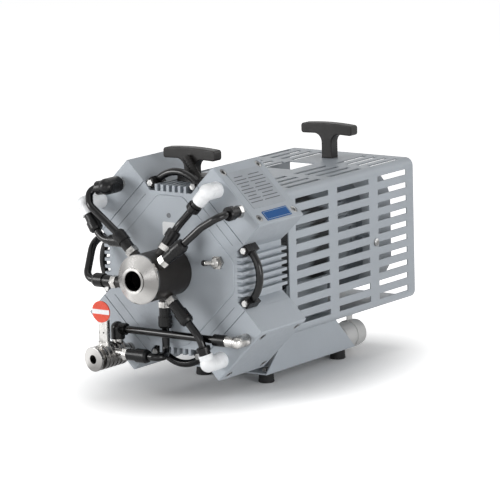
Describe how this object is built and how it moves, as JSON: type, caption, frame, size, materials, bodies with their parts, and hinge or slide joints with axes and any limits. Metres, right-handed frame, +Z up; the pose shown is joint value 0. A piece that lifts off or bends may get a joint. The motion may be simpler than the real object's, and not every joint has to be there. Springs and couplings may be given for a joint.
{
  "type": "diaphragm vacuum pump",
  "caption": "Oil-free diaphragm vacuum pump: finned crankcase with heads in an X, tube distributor at the inlet flange, relief outlet, and a motor in a slotted cage.",
  "frame": {"origin": "on the floor under the middle of the pump's bounding box", "axes": "+Z up, -Y towards the inlet flange and front cover, +Y towards the motor's fan, +X to the right seen from the front"},
  "size_m": [0.2578, 0.4626, 0.2987],
  "materials": {
    "coat_cast": "cast, satin powder coat",
    "coat": "satin powder coat",
    "coat_trim": "satin powder coat",
    "motor_cast": "cast, satin paint",
    "motor_paint": "satin",
    "handle_black": "matte",
    "fitting_black": "satin",
    "hose_black": "satin",
    "elbow_white": "gloss",
    "bright_steel": "bright turned",
    "screw_steel": "satin",
    "brass_screw": "satin",
    "sign_plate": "gloss",
    "foot_rubber": "matte",
    "capacitor_can": "satin",
    "clip_steel": "satin",
    "membrane_rubber": "matte",
    "shaft_steel": "ground",
    "cast_weight": "cast",
    "rod_alloy": "machined",
    "bush_bronze": "machined",
    "core_steel": "laminated",
    "fan_plastic": "matte"
  },
  "bodies": {
    "housing": {"banjo_screws": "bright_steel", "base": "coat", "bearing_outer_rings": "shaft_steel", "cable_gland": "fitting_black", "cage": "coat", "cage_brackets": "coat_trim", "cage_screws": "brass_screw", "capacitor": "capacitor_can", "capacitor_clip": "clip_steel", "crankcase": "coat_cast", "diaphragms": "membrane_rubber", "distributor_fittings": "fitting_black", "fan_cowl": "motor_paint", "feet": "foot_rubber", "foot_screws": "screw_steel", "front_cover": "coat_cast", "handle_front": "handle_black", "handle_post": "coat_trim", "handle_rear": "handle_black", "head_ne": "coat_cast", "head_nw": "coat_cast", "head_screws": "screw_steel", "head_se": "coat_cast", "head_sw": "coat_cast", "hex_nuts": "bright_steel", "hose_west": "hose_black", "hoses_lower": "hose_black", "hoses_ne": "hose_black", "hoses_nw": "hose_black", "inlet_port": "bright_steel", "manifold": "fitting_black", "motor_bell": "motor_cast", "motor_cradle": "coat_trim", "motor_housing": "motor_cast", "outlet_body": "bright_steel", "push_fittings": "fitting_black", "rear_shield": "motor_cast", "relief_body": "bright_steel", "relief_cap": "bright_steel", "relief_sign": "sign_plate", "relief_spring": "shaft_steel", "stator": "core_steel", "steel_elbow": "bright_steel", "terminal_box": "fitting_black", "valley_blocks": "fitting_black", "valley_hoses": "hose_black", "valve_discs": "membrane_rubber", "vent_nozzle": "bright_steel", "white_elbows": "elbow_white"},
    "crankshaft_set": {"crankshaft": "shaft_steel", "counterweights": "cast_weight", "rotor": "core_steel", "fan": "fan_plastic", "bearing_inner_rings": "shaft_steel"},
    "front_rods": {"rods_front": "rod_alloy", "rod_bushes_front": "bush_bronze"},
    "rear_rods": {"rods_rear": "rod_alloy", "rod_bushes_rear": "bush_bronze"},
    "relief_valve": {"relief_poppet": "shaft_steel"}
  },
  "joints": [
    {"name": "crank_spin", "type": "hinge", "parent": "housing", "child": "crankshaft_set", "pos_m": [0, -0.15125, 0.1558], "axis": [0, 1, 0], "continuous": true},
    {"name": "front_rod_turn", "type": "hinge", "parent": "crankshaft_set", "child": "front_rods", "pos_m": [0, -0.12745, 0.1588], "axis": [0, 1, 0], "continuous": true},
    {"name": "rear_rod_turn", "type": "hinge", "parent": "crankshaft_set", "child": "rear_rods", "pos_m": [0, -0.08345, 0.1528], "axis": [0, 1, 0], "continuous": true},
    {"name": "relief_lift", "type": "slide", "parent": "housing", "child": "relief_valve", "axis": [0, 0, 1], "range_m": [0, 0.003], "stiffness_N_per_m": 200, "springref_m": -0.01, "deforming": ["relief_spring"]}
  ],
  "couplings": [
    {"joint": "front_rod_turn", "follows": "crank_spin", "ratio": -1},
    {"joint": "rear_rod_turn", "follows": "crank_spin", "ratio": -1}
  ]
}
